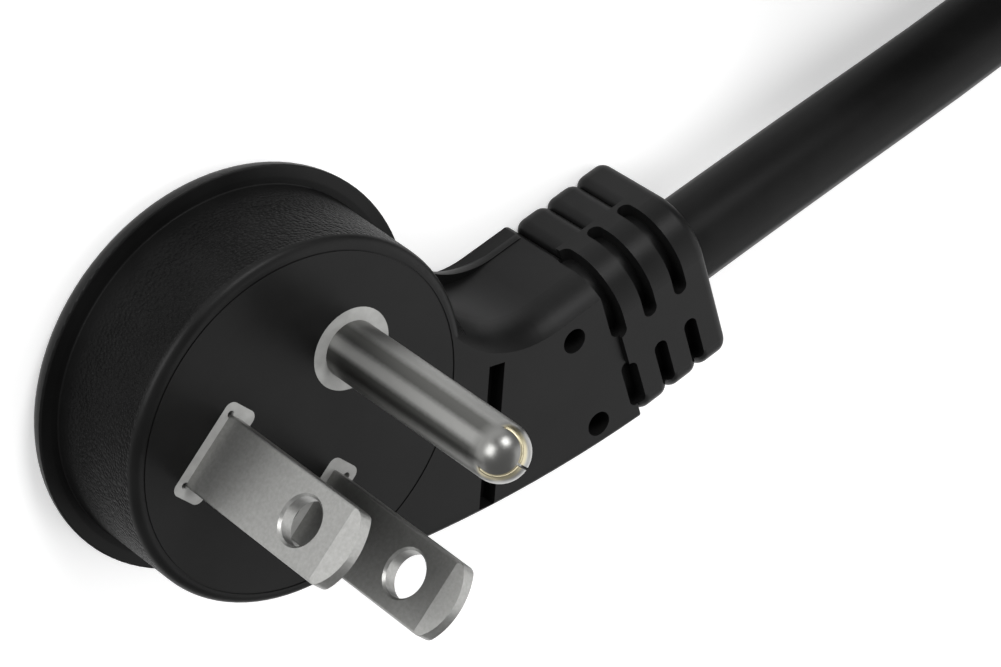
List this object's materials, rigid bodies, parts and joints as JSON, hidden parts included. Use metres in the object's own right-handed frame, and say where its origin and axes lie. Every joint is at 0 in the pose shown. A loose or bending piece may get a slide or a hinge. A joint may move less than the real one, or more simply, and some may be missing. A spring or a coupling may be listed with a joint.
{
  "type": "angled mains plug",
  "caption": "Flat angled mains plug: round flanged body with blades and a ground pin on its face, an offset neck with a slotted strain relief, and a coiled lead.",
  "frame": {"origin": "on the flat back face, at the axis of the round body", "axes": "+Z along the pins, out of the face; +Y from the blades towards the ground pin; the neck leaves at 30 degrees from +Y towards +X"},
  "size_m": [0.1064, 0.1867, 0.0325],
  "materials": {
    "black_pvc": "fine satin moulded PVC",
    "pale_nylon": "matt moulded nylon",
    "nickel_plated_brass": "satin nickel plate over brass",
    "jacket_pvc": "satin extruded PVC",
    "strap_fabric": "hook-and-loop strap",
    "black_insulation": "smooth PVC insulation",
    "white_insulation": "smooth PVC insulation",
    "green_insulation": "smooth PVC insulation",
    "bare_copper": "bare stranded copper",
    "tinned_copper": "tinned strands"
  },
  "bodies": {
    "root": {"overmould": "black_pvc", "inner_bridge": "pale_nylon", "hot_blade": "nickel_plated_brass", "neutral_blade": "nickel_plated_brass", "ground_pin": "nickel_plated_brass", "hot_core": "black_insulation", "hot_strands": "bare_copper", "neutral_core": "white_insulation", "neutral_strands": "bare_copper", "ground_core": "green_insulation", "ground_strands": "bare_copper", "cord_run": "jacket_pvc", "cord_coil": "jacket_pvc", "coil_tie": "strap_fabric", "hot_lead": "black_insulation", "hot_tip": "tinned_copper", "neutral_lead": "white_insulation", "neutral_tip": "tinned_copper", "ground_lead": "green_insulation", "ground_tip": "tinned_copper"}
  },
  "joints": []
}
